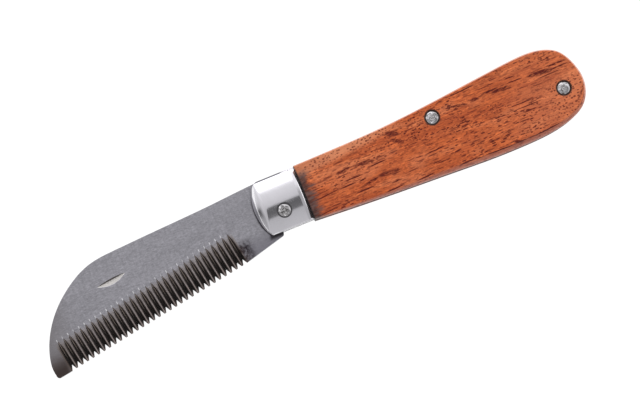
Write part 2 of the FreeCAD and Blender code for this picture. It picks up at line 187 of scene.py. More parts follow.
def material(name):
    mat = bpy.data.materials.new(name)
    mat.use_nodes = True
    mat.node_tree.nodes.clear()
    t = Tree(mat.node_tree)
    out = t.node("ShaderNodeOutputMaterial")
    bsdf = t.node("ShaderNodeBsdfPrincipled")
    mat.node_tree.links.new(bsdf.outputs[0], out.inputs[0])
    tc = t.node("ShaderNodeTexCoord")
    # millimetres in the knife's drawing frame
    mm = t.mapping(tc.outputs["Object"], loc=(OX, OY, 0), scale=(1000, 1000, 1000))
    return mat, t, bsdf, mm


# world: a bright overhead tent, with a dark gap where the lens looks in
world = bpy.data.worlds.new("studio")
scene.world = world
world.use_nodes = True
wt = Tree(world.node_tree)
world.node_tree.nodes.clear()
w_out = wt.node("ShaderNodeOutputWorld")
w_bg = wt.node("ShaderNodeBackground")
world.node_tree.links.new(w_bg.outputs[0], w_out.inputs[0])
w_tc = wt.node("ShaderNodeTexCoord")
wx, wy, wz = wt.sep(w_tc.outputs["Generated"])
ang = wt.math("MULTIPLY", wt.math("ARCTAN2", wy, wz), 180 / math.pi)   # 0 overhead, + toward the back
side = wt.math("MULTIPLY", wt.math("ARCTAN2", wx, wz), 180 / math.pi)  # 0 overhead, + toward the butt


flat = wt.math("MULTIPLY", wt.math("ARCSINE", wy), 180 / math.pi)      # the same for low directions: 0 ahead, + toward the back


def world_ramp(stops, by=None):
    r = wt.node("ShaderNodeValToRGB")
    wt.put(r.inputs[0], wt.math("ADD", wt.math("MULTIPLY", by or ang, 1 / 180.0), 0.5))   # -90..90 to 0..1
    el = r.color_ramp.elements
    while len(el) > 1:
        el.remove(el[0])
    el[0].position = stops[0][0] / 180 + 0.5
    el[0].color = (*[stops[0][1] * c for c in TONE], 1)
    for a, v in stops[1:]:
        e = el.new(a / 180 + 0.5)
        e.color = (*[v * c for c in TONE], 1)
    return r.outputs[0]


TONE = (0.995, 0.985, 1.02)
overhead = world_ramp([(-90, 0.80), (-60, 0.70), (-34, 0.60), (-16, 0.52), (-11.5, 0.50), (-10.0, 0.17), (-3, 0.13), (1.6, 0.15), (3.0, 0.62), (10, 0.72), (18, 0.82), (21, 0.95), (24.5, 1.7), (40, 2.2), (90, 1.6)])
crease = world_ramp([(-90, 0.61), (-12, 0.58), (-2, 0.52), (3, 0.54), (8, 0.72), (14, 0.90), (30, 1.2), (90, 1.2)], flat)
front = world_ramp([(-90, 0.52), (-30, 0.48), (-6, 0.46), (-1.0, 0.42), (1.2, 0.34), (3.2, 0.12), (6.0, 0.11), (8.2, 0.50), (13, 0.80), (40, 1.05), (90, 1.05)], flat)
rear = world_ramp([(-90, 0.50), (-12, 0.46), (-2, 0.42), (5, 0.42), (9, 0.60), (15, 0.9), (40, 1.3), (90, 1.3)], flat)
far_rear = world_ramp([(-90, 0.90), (-34, 1.05), (-10, 1.15), (4, 1.25), (18, 1.3), (40, 1.6), (90, 1.6)], flat)
c1 = wt.mix(wt.ramp(side, -8.0, -18.0), overhead, crease)
c1 = wt.mix(wt.ramp(side, -52.0, -78.0), c1, front)
c2 = wt.mix(wt.ramp(side, 7.0, 11.0), c1, rear)
c2 = wt.mix(wt.ramp(side, 32.5, 36.5), c2, far_rear)
wt.put(w_bg.inputs[0], c2)
w_bg.inputs[1].default_value = 1.0

# floor
me = bpy.data.meshes.new("floor")
s = 3.0
me.from_pydata([(-s, -s, -5e-5), (s, -s, -5e-5), (s, s, -5e-5), (-s, s, -5e-5)], [], [(0, 1, 2, 3)])
floor = bpy.data.objects.new("floor", me)
scene.collection.objects.link(floor)
mat = bpy.data.materials.new("floor_paper")
mat.use_nodes = True
b = mat.node_tree.nodes["Principled BSDF"]
b.inputs["Base Color"].default_value = (0.14, 0.14, 0.14, 1)
b.inputs["Roughness"].default_value = 0.9
b.inputs["Specular IOR Level"].default_value = 0.1
b.inputs["Emission Color"].default_value = (1, 1, 1, 1)
b.inputs["Emission Strength"].default_value = 0.97
me.materials.append(mat)

# ---------------------------------------------------------------------------
# materials
# ---------------------------------------------------------------------------


def steel(name, base, rough, brush_scale=(60, 900, 900), brush=0.10, bump=0.02, tint=None, blotch=0.06, spots=0.0, metallic=1.0, aniso=0.0):
    """Brushed or polished steel: fine lines along X, faint blotches and a few pits."""
    mat, t, bsdf, mm = material(name)
    lines = t.noise(t.mapping(mm, scale=tuple(v / 1000 for v in brush_scale)), 1.0, 3.0, 0.6).outputs["Fac"]
    cloud = t.noise(mm, 0.16, 3.0, 0.55).outputs["Fac"]
    v = t.math("ADD", 1.0 - brush / 2, t.math("MULTIPLY", lines, brush))
    v = t.math("MULTIPLY", v, t.ramp(cloud, 0.3, 0.7, 1 - blotch, 1 + blotch))
    col = t.mix(1.0, lin(base), t.comb(v, v, v), "MULTIPLY")
    if tint:
        col = t.mix(t.ramp(t.noise(mm, 0.35, 3.0, 0.6).outputs["Fac"], 0.45, 0.75, 0.0, 0.5), col, lin(tint))
    if spots:
        vor = t.node("ShaderNodeTexVoronoi", feature="F1")
        t.put(vor.inputs["Vector"], mm)
        vor.inputs["Scale"].default_value = 0.6
        pit = t.ramp(vor.outputs["Distance"], 0.02, 0.09, spots, 0.0)
        col = t.mix(pit, col, lin((70, 62, 58)))
    t.put(bsdf.inputs["Base Color"], col)
    bsdf.inputs["Metallic"].default_value = metallic
    t.put(bsdf.inputs["Roughness"], t.math("ADD", rough - 0.05, t.math("MULTIPLY", lines, 0.10)))
    bm = t.node("ShaderNodeBump")
    bm.inputs["Distance"].default_value = 0.00002
    bm.inputs["Strength"].default_value = min(1.0, bump * 10)
    t.put(bm.inputs["Height"], lines)
    t.put(bsdf.inputs["Normal"], bm.outputs[0])
    return mat


def wood_material(name, marks):
    """Open-grained reddish hardwood: fibres and pore dashes along X, figured streaks, scorching by the bolster."""
    mat, t, bsdf, mm = material(name)
    X, Y, Z = t.sep(mm)
    # gentle waviness of the grain
    wav = t.noise(t.mapping(mm, scale=(0.05, 0.10, 0.10)), 1.0, 2.0, 0.5).outputs["Fac"]
    wav2 = t.noise(t.mapping(mm, scale=(0.45, 0.7, 0.7)), 1.0, 2.0, 0.55).outputs["Fac"]
    Yw = t.math("ADD", Y, t.math("MULTIPLY", t.math("SUBTRACT", wav, 0.5), 2.2))
    Yf = t.math("ADD", Y, t.math("MULTIPLY", t.math("SUBTRACT", wav2, 0.5), 0.40))
    gw = t.comb(X, Yw, Z)
    gf = t.comb(X, Yf, Z)
    # broad tone
    tone = t.noise(t.mapping(gw, scale=(0.035, 0.28, 0.28)), 1.0, 3.0, 0.6).outputs["Fac"]
    cr = t.node("ShaderNodeValToRGB")
    t.put(cr.inputs[0], tone)
    e = cr.color_ramp.elements
    e[0].position, e[0].color = 0.28, lin((186, 87, 41))
    e[1].position, e[1].color = 0.75, lin((224, 125, 74))
    k = e.new(0.5)
    k.color = lin((208, 104, 54))
    col = cr.outputs[0]
    # fibres
    fib = t.noise(t.mapping(gf, scale=(0.16, 3.6, 3.6)), 1.0, 3.0, 0.65).outputs["Fac"]
    fv = t.ramp(fib, 0.25, 0.75, 0.70, 1.26, smooth=False)
    col = t.mix(1.0, col, t.comb(fv, fv, fv), "MULTIPLY")
    hair = t.noise(t.mapping(gf, loc=(1, 5, 2), scale=(0.42, 2.3, 2.3)), 1.0, 2.0, 0.7).outputs["Fac"]
    hv = t.ramp(hair, 0.30, 0.70, 0.70, 1.27, smooth=False)
    col = t.mix(1.0, col, t.comb(hv, t.math("POWER", hv, 1.25), t.math("POWER", hv, 1.25)), "MULTIPLY")
    # mottling
    mot = t.noise(t.mapping(mm, scale=(1.0, 1.8, 1.8)), 1.0, 2.0, 0.65).outputs["Fac"]
    mv = t.ramp(mot, 0.3, 0.7, 0.84, 1.16, smooth=False)
    col = t.mix(1.0, col, t.comb(mv, mv, mv), "MULTIPLY")
    # redder veins, thin and long
    vein = t.noise(t.mapping(gw, scale=(0.06, 1.25, 1.25)), 1.0, 2.0, 0.5).outputs["Fac"]
    col = t.mix(t.ramp(vein, 0.54, 0.68, 0.0, 0.55), col, lin((160, 64, 28)))
    # paler, pinker wood in the upper front of the scale, and a pink cast by the lower edge
    edge_line = t.math("SUBTRACT", Y, t.math("ADD", 6.6, t.math("MULTIPLY", X, 0.085)))
    pale = t.math("MULTIPLY", t.ramp(edge_line, -1.2, 1.6), t.ramp(X, 30.0, 46.0, 1.0, 0.0))
    pale = t.math("MULTIPLY", pale, marks["pale"])
    col = t.mix(pale, col, lin((234, 154, 110)))
    col = t.mix(t.math("MULTIPLY", t.ramp(X, 68.0, 90.0), t.ramp(Y, 9.0, 5.0, 0.14, 0.34)), col, lin((232, 142, 100)))
    sheen = t.noise(t.mapping(gw, loc=(4, 2, 0), scale=(0.06, 0.17, 0.17)), 1.0, 2.0, 0.5).outputs["Fac"]
    col = t.mix(t.ramp(sheen, 0.48, 0.66, 0.0, 0.38), col, lin((216, 130, 88)))
    col = t.mix(t.ramp(sheen, 0.50, 0.36, 0.0, 0.30), col, lin((156, 66, 34)))
    # pore dashes
    acc = {"m": None}

    def add_mask(mk):
        acc["m"] = mk if acc["m"] is None else t.math("MAXIMUM", acc["m"], mk)

    def dashes(scale, half, keep, dark, seed, region=None):
        v = t.node("ShaderNodeTexVoronoi", feature="F1")
        sv = t.mapping(gf, loc=(seed * 7.31, seed * 3.17, seed * 1.9), scale=scale)
        t.put(v.inputs["Vector"], sv)
        v.inputs["Scale"].default_value = 1.0
        d = t.node("ShaderNodeVectorMath", operation="SUBTRACT")
        t.put(d.inputs[0], sv)
        t.put(d.inputs[1], v.outputs["Position"])
        q = t.node("ShaderNodeVectorMath", operation="MULTIPLY")
        t.put(q.inputs[0], d.outputs[0])
        q.inputs[1].default_value = (1 / (scale[0] * half[0]), 1 / (scale[1] * half[1]), 1 / (scale[2] * half[2]))
        ln = t.node("ShaderNodeVectorMath", operation="LENGTH")
        t.put(ln.inputs[0], q.outputs[0])
        r, g, b_ = t.sep(v.outputs["Color"])
        size = t.ramp(g, 0.0, 1.0, 0.75, 1.40, smooth=False)
        dist = t.math("DIVIDE", ln.outputs["Value"], size)
        mk = t.ramp(dist, 0.80, 1.08, 1.0, 0.0)
        on = t.math("LESS_THAN", r, keep)
        depth = t.ramp(b_, 0.0, 1.0, 0.55 * dark, dark, smooth=False)
        mk = t.math("MULTIPLY", t.math("MULTIPLY", mk, on), depth)
        if region is not None:
            mk = t.math("MULTIPLY", mk, region)
        add_mask(mk)

    patch = t.noise(t.mapping(mm, loc=(3, 9, 0), scale=(0.07, 0.16, 0.16)), 1.0, 2.0, 0.5).outputs["Fac"]
    some = t.ramp(patch, 0.35, 0.6)
    low_right = t.math("MULTIPLY", t.ramp(X, 44.0, 56.0), t.ramp(Y, 4.5, 1.0))
    busy = t.math("MAXIMUM", low_right, t.ramp(patch, 0.45, 0.60))
    dots = t.math("MAXIMUM", t.math("MULTIPLY", t.ramp(edge_line, -1.5, 1.0, 0.0, 1.0), t.ramp(X, 48.0, 40.0)), t.math("MULTIPLY", t.ramp(X, 84, 92), t.ramp(Y, 7.0, 4.0)))
    plain = t.math("SUBTRACT", 1.0, t.math("MULTIPLY", dots, 0.9))
    dashes((0.24, 0.90, 0.90), (1.45, 0.17, 0.40), 0.50, 0.95, 1, plain)
    dashes((0.50, 1.20, 1.20), (0.70, 0.19, 0.36), 0.70, 1.0, 2, t.math("MULTIPLY", plain, t.math("MAXIMUM", busy, 0.55)))
    upper_mid = t.math("MULTIPLY", t.math("MULTIPLY", t.ramp(X, 22.0, 34.0), t.ramp(X, 58.0, 48.0)), t.ramp(Y, 4.6, 6.2))
    dashes((1.05, 1.45, 1.45), (0.34, 0.19, 0.28), 0.72, 1.0, 3, t.math("MULTIPLY", t.math("SUBTRACT", 1.0, t.math("MULTIPLY", dots, 0.6)), t.math("MAXIMUM", upper_mid, t.ramp(patch, 0.45, 0.62, 0.35, 0.95))))
    dashes((1.05, 1.20, 1.20), (0.34, 0.23, 0.32), 0.88, 1.0, 4, dots)
    pores = acc["m"]
    fine = t.noise(t.mapping(gf, scale=(1.3, 5.5, 5.5)), 1.0, 2.0, 0.5).outputs["Fac"]
    # figured streaks that this piece of wood has
    rough_edge = t.noise(t.mapping(mm, scale=(0.9, 2.6, 2.6)), 1.0, 3.0, 0.7).outputs["Fac"]
    ragged = t.ramp(rough_edge, 0.30, 0.58, 0.25, 1.0)
    for (x0, y0, x1, y1, w, dk) in marks["streaks"]:
        hl = math.hypot(x1 - x0, y1 - y0) / 2
        a = math.atan2(y1 - y0, x1 - x0)
        cx, cy = (x0 + x1) / 2, (y0 + y1) / 2
        # into the streak's own frame: turn, centre, and scale to a unit ellipse
        ca, sa = math.cos(-a), math.sin(-a)
        rx, ry = ca * cx - sa * cy, sa * cx + ca * cy
        one_ = t.mapping(gf, rot=(0, 0, -a), loc=(-rx, -ry, 0))
        two = t.mapping(one_, scale=(1 / (hl * 1.12), 1 / (w * 0.66), 0))
        ln = t.node("ShaderNodeVectorMath", operation="LENGTH")
        t.put(ln.inputs[0], two)
        mk = t.ramp(ln.outputs["Value"], 0.66, 1.10, min(1.0, dk * 1.5), 0.0)
        add_mask(t.math("MULTIPLY", mk, ragged) if w >= 0.5 else mk)
    total = acc["m"]
    dark_col = t.mix(t.ramp(fine, 0.35, 0.65), lin((108, 18, 4)), lin((62, 10, 4)))
    col = t.mix(total, col, dark_col)
    # the rounded edges: a painted highlight makes them paler, most along the back; painted shade darkens the belly
    # side's rounding; and a painted shade line runs where a broad rounding starts
    belly_round_shade = t.ramp(Z, 13.82, 13.30) if marks["front"] else t.ramp(Z, 0.18, 0.70)
    pale = t.ramp(Z, 13.96, 13.60) if marks["front"] else t.ramp(Z, 0.04, 0.40)
    # painted highlight on the rounding, strongest along the back edge
    col = t.mix(t.math("MULTIPLY", pale, t.ramp(Y, -5.0, 5.0, 0.12, 0.92)), col, lin((222, 174, 157)))
    # painted shade on the belly side's rounding
    col = t.mix(t.math("MULTIPLY", belly_round_shade, t.ramp(Y, 0.0, -5.0, 0.0, 0.55)), col, lin((142, 66, 44)))
    # painted shade line along the inner edge of the broad belly-side rounding
    line = t.math("MULTIPLY", t.ramp(Z, 13.995, 13.93), t.ramp(Z, 13.70, 13.86)) if marks["front"] \
        else t.math("MULTIPLY", t.ramp(Z, 0.005, 0.07), t.ramp(Z, 0.30, 0.14))
    line = t.math("MULTIPLY", line, t.math("MULTIPLY", t.ramp(X, 52.0, 64.0), t.ramp(Y, 2.0, -3.0)))
    line = t.math("MULTIPLY", line, t.ramp(t.noise(mm, 0.22, 2.0, 0.5).outputs["Fac"], 0.40, 0.58, 0.35, 0.85))
    col = t.mix(line, col, lin((84, 36, 26)))
    # painted shade at the foot of the scale's side wall, next to the liner
    wall_foot_shade = t.ramp(Z, 10.9, 9.9) if marks["front"] else t.ramp(Z, 3.1, 4.1)
    col = t.mix(t.math("MULTIPLY", wall_foot_shade, 0.75), col, lin((66, 38, 34)))
    # scorching and grime beside the bolster
    sn = t.noise(t.mapping(mm, scale=(0.25, 0.9, 0.9)), 1.0, 3.0, 0.65).outputs["Fac"]
    reach = t.math("ADD", X, t.math("MULTIPLY", t.math("SUBTRACT", sn, 0.5), -6.5))
    sc = t.ramp(reach, 8.8, 12.2, 0.92, 0.0)
    sc = t.math("MULTIPLY", sc, t.ramp(Y, 7.2, 10.6, 1.0, 0.10))
    col = t.mix(sc, col, t.mix(t.ramp(sn, 0.40, 0.62), lin((54, 38, 36)), lin((96, 78, 74))))
    jl = t.math("MULTIPLY", t.ramp(X, 7.75, 8.12, 0.92, 0.0), t.ramp(Y, 9.0, 11.0, 1.0, 0.35))
    col = t.mix(jl, col, lin((30, 23, 22)))
    # painted shade in and round the pin pockets: a dark ring where the pocket's recess falls into shade
    for at in (CENTRE, BUTT):
        dv = t.node("ShaderNodeVectorMath", operation="DISTANCE")
        t.put(dv.inputs[0], t.comb(X, Y, 0.0))
        dv.inputs[1].default_value = (at[0], at[1], 0)
        col = t.mix(t.ramp(dv.outputs["Value"], 2.38, 2.75, 0.85, 0.0), col, lin((44, 30, 24)))
    t.put(bsdf.inputs["Base Color"], col)
    bsdf.inputs["Specular IOR Level"].default_value = 0.24
    bsdf.inputs["Coat Weight"].default_value = 0.06
    bsdf.inputs["Coat Roughness"].default_value = 0.35
    t.put(bsdf.inputs["Roughness"], t.math("ADD", 0.42, t.math("MULTIPLY", total, 0.3)))
    h = t.math("SUBTRACT", t.math("MULTIPLY", fib, 0.25), pores)
    bm = t.node("ShaderNodeBump")
    bm.inputs["Distance"].default_value = 0.00006
    bm.inputs["Strength"].default_value = 0.5
    t.put(bm.inputs["Height"], h)
    t.put(bsdf.inputs["Normal"], bm.outputs[0])
    return mat


# (x0, y0, x1, y1, width, darkness), millimetres
FRONT_STREAKS = [
    (19.0, 4.2, 24.0, 4.6, 0.9, 0.75), (24.5, 4.4, 31.5, 4.0, 0.9, 0.7), (11.0, 3.6, 18.0, 4.1, 0.5, 0.45),
    (29.5, 2.4, 35.3, 2.6, 0.34, 0.8), (20.5, 1.1, 26.8, 1.0, 0.34, 0.7), (8.0, -1.2, 18.5, -0.4, 0.30, 0.75),
    (18.5, -0.6, 24.0, -0.4, 0.36, 0.9), (24.8, -0.6, 27.2, -0.4, 0.36, 0.8), (8.0, 0.2, 16.0, 0.7, 0.26, 0.5),
    (22.5, -3.8, 28.8, -3.7, 0.36, 0.75), (26.0, -2.4, 31.0, -1.6, 0.8, 0.7), (30.5, -1.4, 38.5, -1.8, 1.3, 0.6),
    (34.0, -5.0, 37.4, -4.9, 0.5, 0.7), (31.5, -6.9, 37.5, -6.7, 0.36, 0.7), (41.5, -7.3, 47.5, -6.9, 0.4, 0.8),
    (47.0, -0.7, 53.8, -0.4, 0.34, 0.8), (48.0, -4.3, 51.0, -4.1, 0.3, 0.6), (37.6, 10.2, 42.0, 8.4, 1.5, 0.62),
    (38.5, 7.6, 42.3, 5.7, 1.0, 0.62), (8.0, -6.0, 16.0, -5.4, 0.3, 0.6),
    (60.5, 13.2, 69.3, 13.7, 0.36, 0.65), (57.6, 10.2, 63.0, 9.7, 0.5, 0.75), (61.5, 9.5, 65.0, 9.0, 0.8, 0.8),
    (66.0, 9.6, 69.0, 9.3, 0.8, 0.8), (70.0, 9.9, 75.5, 10.2, 0.6, 0.8), (73.0, 9.3, 78.5, 9.2, 0.9, 0.7),
    (78.5, 10.2, 83.5, 10.1, 0.34, 0.7), (85.0, 9.7, 93.0, 9.5, 0.9, 0.75), (87.5, 8.9, 99.2, 9.2, 0.5, 0.8),
    (91.5, 10.4, 99.0, 10.1, 0.5, 0.85), (88.0, 8.0, 96.0, 8.0, 0.34, 0.6), (78.7, 11.7, 81.7, 11.6, 0.36, 0.7),
    (76.6, 2.9, 84.6, 2.8, 0.30, 0.65), (78.0, 1.4, 87.0, 1.4, 0.30, 0.6), (80.3, -0.2, 84.5, -0.2, 0.5, 0.8),
    (66.8, -4.9, 70.4, -4.7, 0.5, 0.8), (71.8, -4.8, 74.2, -4.7, 0.36, 0.7), (55.5, -3.5, 57.6, -3.3, 0.4, 0.8),
    (63.0, 3.1, 61.0, 2.8, 0.6, 0.7), (55.0, -7.9, 62.0, -7.6, 0.3, 0.7), (64.0, -7.9, 74.0, -8.3, 0.35, 0.7),
    (74.0, -7.5, 77.0, -8.5, 0.8, 0.7), (80.0, -8.2, 90.0, -7.4, 0.35, 0.7), (71.2, 1.5, 73.2, 1.4, 0.5, 0.7),
    (75.0, 8.9, 79.0, 9.6, 0.5, 0.6), (97.0, -3.2, 100.4, 0.2, 0.5, 0.5)]
REAR_STREAKS = [
    (12.0, 6.2, 24.0, 6.6, 0.5, 0.7), (20.0, 2.1, 31.0, 1.9, 0.6, 0.7), (34.0, 4.4, 52.0, 5.2, 0.8, 0.6),
    (40.0, -3.2, 47.0, -3.0, 0.4, 0.8), (58.0, -1.9, 70.0, -2.2, 0.7, 0.65), (62.0, 11.4, 78.0, 12.3, 0.6, 0.7),
    (70.0, 5.2, 84.0, 5.6, 0.9, 0.6), (80.0, -5.4, 92.0, -5.0, 0.5, 0.7), (26.0, -5.1, 33.0, -4.9, 0.4, 0.8),
    (84.0, 9.1, 98.0, 9.4, 0.6, 0.7)]

M = {}
M["wood_front"] = wood_material("scale_wood_front", {"streaks": FRONT_STREAKS, "pale": 0.75, "front": True})
M["wood_rear"] = wood_material("scale_wood_rear", {"streaks": REAR_STREAKS, "pale": 0.45, "front": False})


def blade_material():
    mat, t, bsdf, mm = material("blade_patina_steel")
    X, Y, Z = t.sep(mm)
    ca, sa = math.cos(EDGE_SLOPE), math.sin(EDGE_SLOPE)
    # height above the tooth line, and depth under the front bevel's plane
    S = t.math("ADD", t.math("MULTIPLY", X, -sa), t.math("MULTIPLY", t.math("SUBTRACT", Y, EDGE_Y0), ca))
    U = t.math("ADD", t.math("MULTIPLY", X, ca), t.math("MULTIPLY", t.math("SUBTRACT", Y, EDGE_Y0), sa))
    along = t.math("DIVIDE", t.math("SUBTRACT", U, FIRST_U), 31 * TOOTH_PITCH)
    S = t.math("MULTIPLY", S, t.math("DIVIDE", 11.0, t.math("ADD", 10.45, along)))
    depth = t.math("SUBTRACT", ZB1, Z)
    low = t.ramp(S, GROOVE_S, GROOVE_S + 0.6, 1.0, 0.0)
    groove = t.math("MULTIPLY", t.ramp(depth, 0.02, 0.30), low)
    groove = t.math("MULTIPLY", groove, t.ramp(S, 0.2, 1.9, 0.25, 1.0))
    groove = t.math("MULTIPLY", groove, t.ramp(Z, ZB0 + 0.02, ZB0 + 0.3))
    row = t.math("MULTIPLY", t.math("GREATER_THAN", U, FIRST_U - 1.0), t.math("LESS_THAN", U, FIRST_U + 31 * TOOTH_PITCH + 1.0))
    groove = t.math("MULTIPLY", groove, row)
    # fine brushing, across the blade's length at a small angle
    lines = t.noise(t.mapping(mm, rot=(0, 0, 0.35), scale=(0.5, 6.0, 6.0)), 1.0, 3.0, 0.6).outputs["Fac"]
    lines2 = t.noise(t.mapping(mm, rot=(0, 0, -1.2), scale=(0.6, 5.0, 5.0)), 1.0, 2.0, 0.6).outputs["Fac"]
    cloud = t.noise(t.mapping(mm, scale=(0.05, 0.12, 0.12)), 1.0, 3.0, 0.55).outputs["Fac"]
    grain = t.noise(t.mapping(mm, rot=(0, 0, 0.35), scale=(1.0, 3.2, 3.2)), 1.0, 2.0, 0.7).outputs["Fac"]
    v = t.math("ADD", 0.75, t.math("MULTIPLY", t.math("ADD", lines, lines2), 0.23))
    v = t.math("MULTIPLY", v, t.ramp(grain, 0.3, 0.7, 0.80, 1.23, smooth=False))
    cross = t.noise(t.mapping(mm, scale=(2.4, 0.45, 0.45)), 1.0, 2.0, 0.6).outputs["Fac"]
    v = t.math("MULTIPLY", v, t.ramp(cross, 0.3, 0.7, 0.91, 1.09, smooth=False))
    v = t.math("MULTIPLY", v, t.ramp(cloud, 0.3, 0.7, 0.95, 1.05))
    col = t.mix(1.0, lin((178, 177, 182)), t.comb(v, v, v), "MULTIPLY")
    # darker toward the tip and the heel
    tipd = t.ramp(X, -85.0, -70.0, 0.75, 0.0)
    col = t.mix(tipd, col, lin((142, 138, 138)))
    heel = t.math("MULTIPLY", t.ramp(X, -24.0, -12.0, 0.0, 1.0), t.ramp(Y, -8.0, -2.0, 0.7, 0.0))
    col = t.mix(heel, col, lin((142, 140, 148)))
    # painted shade where the ground surface runs out at the heel, broken up by noise
    hn = t.noise(t.mapping(mm, scale=(0.9, 0.7, 0.7)), 1.0, 3.0, 0.65).outputs["Fac"]
    heel_runout_shade = t.math("MULTIPLY", t.math("MULTIPLY", t.ramp(X, -20.5, -17.5), t.ramp(X, -12.0, -15.5)), t.ramp(Y, -2.5, -5.5))
    col = t.mix(t.math("MULTIPLY", heel_runout_shade, t.ramp(hn, 0.38, 0.60, 0.35, 1.0)), col, lin((62, 56, 62)))
    # painted contact shadow on the blade where it passes under the bolsters: distance outside their outline
    yc = t.math("MINIMUM", t.math("MAXIMUM", Y, -5.5), 11.3)
    nose = 0.00001433
    for k_ in (0.00005337, -0.00246248, 0.03568451, -0.13213879, -8.60276330):
        nose = t.math("ADD", t.math("MULTIPLY", yc, nose), k_)
    out_ = t.math("MAXIMUM", t.math("SUBTRACT", nose, X), t.math("SUBTRACT", -5.85, Y))
    reach_ = t.ramp(Y, -4.6, -6.2, 0.75, 1.6)
    bolster_contact_shadow = t.math("MULTIPLY", t.ramp(t.math("DIVIDE", out_, reach_), 0.2, 1.0, 0.9, 0.0), t.ramp(Y, 9.0, 4.0, 0.3, 1.0))
    col = t.mix(bolster_contact_shadow, col, lin((52, 48, 52)))
    # patina: brown bloom on the ground part, strongest at the tip
    pn = t.noise(t.mapping(mm, loc=(2, 7, 1), scale=(0.5, 0.5, 0.5)), 1.0, 3.0, 0.6).outputs["Fac"]
    pat = t.math("MULTIPLY", t.math("MULTIPLY", t.ramp(S, 1.0, 9.5, 0.55, 0.0), t.ramp(pn, 0.3, 0.75, 0.35, 1.0)), t.ramp(X, -14.0, -19.0))
    col = t.mix(pat, col, lin((128, 112, 104)))
    land = t.math("MULTIPLY", t.ramp(X, -81.5, -78.6, 1.0, 0.0), t.ramp(S, 1.5, 9.5, 0.95, 0.0))
    col = t.mix(land, col, lin((74, 64, 60)))
    # grime and painted shade in the grooves: patina plus the shade of the narrow hollows
    gn = t.noise(mm, 1.3, 3.0, 0.6).outputs["Fac"]
    groove_grime_and_shade = t.mix(t.ramp(gn, 0.45, 0.75), lin((9, 7, 7)), lin((36, 25, 20)))
    # across one groove: 0 at its bottom, 0.5 on the land between two grooves
    wc = t.math("ABSOLUTE", t.math("SUBTRACT", t.math("FRACT", t.math("DIVIDE", t.math("SUBTRACT", U, FIRST_U - TOOTH_PITCH / 2), TOOTH_PITCH)), 0.5))
    # a painted highlight along each groove's floor
    groove_floor_highlight = t.math("MULTIPLY", t.ramp(wc, 0.10, 0.03), t.ramp(S, 3.5, 7.4, 0.08, 0.92))
    groove_grime_and_shade = t.mix(groove_floor_highlight, groove_grime_and_shade, lin((168, 155, 144)))
    off_rear = t.ramp(Z, ZB0 + 0.02, ZB0 + 0.3)
    teeth_here = t.math("MULTIPLY", t.math("GREATER_THAN", U, FIRST_U - 1.2), t.math("LESS_THAN", U, FIRST_U + 31.6 * TOOTH_PITCH))
    teeth_here = t.math("MULTIPLY", teeth_here, off_rear)
    inner = t.math("MULTIPLY", t.math("GREATER_THAN", U, FIRST_U + 0.2), t.math("LESS_THAN", U, FIRST_U + 30.8 * TOOTH_PITCH))
    inner = t.math("MULTIPLY", inner, off_rear)
    # a painted highlight along the land between two grooves
    land_catchlight = t.math("MULTIPLY", t.math("MULTIPLY", t.ramp(wc, 0.42, 0.48), t.ramp(S, 6.5, 3.0)), inner)
    side_ = t.math("MULTIPLY", t.math("MULTIPLY", t.ramp(wc, 0.46, 0.38), t.ramp(S, 10.0, 7.2)), teeth_here)
    col = t.mix(t.math("MULTIPLY", t.ramp(S, 10.6, 8.6), teeth_here), col, lin((246, 238, 229)), "MULTIPLY")
    col = t.mix(t.math("MULTIPLY", side_, t.ramp(S, 4.5, 1.2, 0.70, 0.93)), col, lin((84, 71, 63)))
    col = t.mix(t.math("MULTIPLY", land_catchlight, t.ramp(S, 5.0, 1.5, 0.18, 0.24)), col, lin((196, 182, 170)))
    col = t.mix(t.math("MULTIPLY", groove, 0.97), col, groove_grime_and_shade)
    # a painted glint at the top of each groove's run-out
    w = t.math("SUBTRACT", t.math("FRACT", t.math("DIVIDE", t.math("SUBTRACT", U, FIRST_U - TOOTH_PITCH / 2 - 0.12), TOOTH_PITCH)), 0.5)
    dot = t.math("MAXIMUM", t.math("DIVIDE", t.math("ABSOLUTE", w), 0.085), t.math("DIVIDE", t.math("ABSOLUTE", t.math("SUBTRACT", S, GROOVE_S + 0.02)), 0.50))
    inrow = t.math("MULTIPLY", t.math("GREATER_THAN", U, FIRST_U - 0.6), t.math("LESS_THAN", U, FIRST_U + 30.5 * TOOTH_PITCH))
    gl = t.noise(t.mapping(mm, scale=(0.45, 0.1, 0.1)), 1.0, 1.0, 0.5).outputs["Fac"]
    groove_top_glint = t.math("MULTIPLY", t.math("MULTIPLY", t.ramp(dot, 0.60, 1.1, 0.92, 0.0), inrow), t.ramp(gl, 0.36, 0.56, 0.35, 1.0))
    front_face = t.ramp(Z, ZB1 - 0.30, ZB1 - 0.10)
    groove_top_glint = t.math("MULTIPLY", groove_top_glint, front_face)
    col = t.mix(groove_top_glint, col, lin((255, 255, 255)))
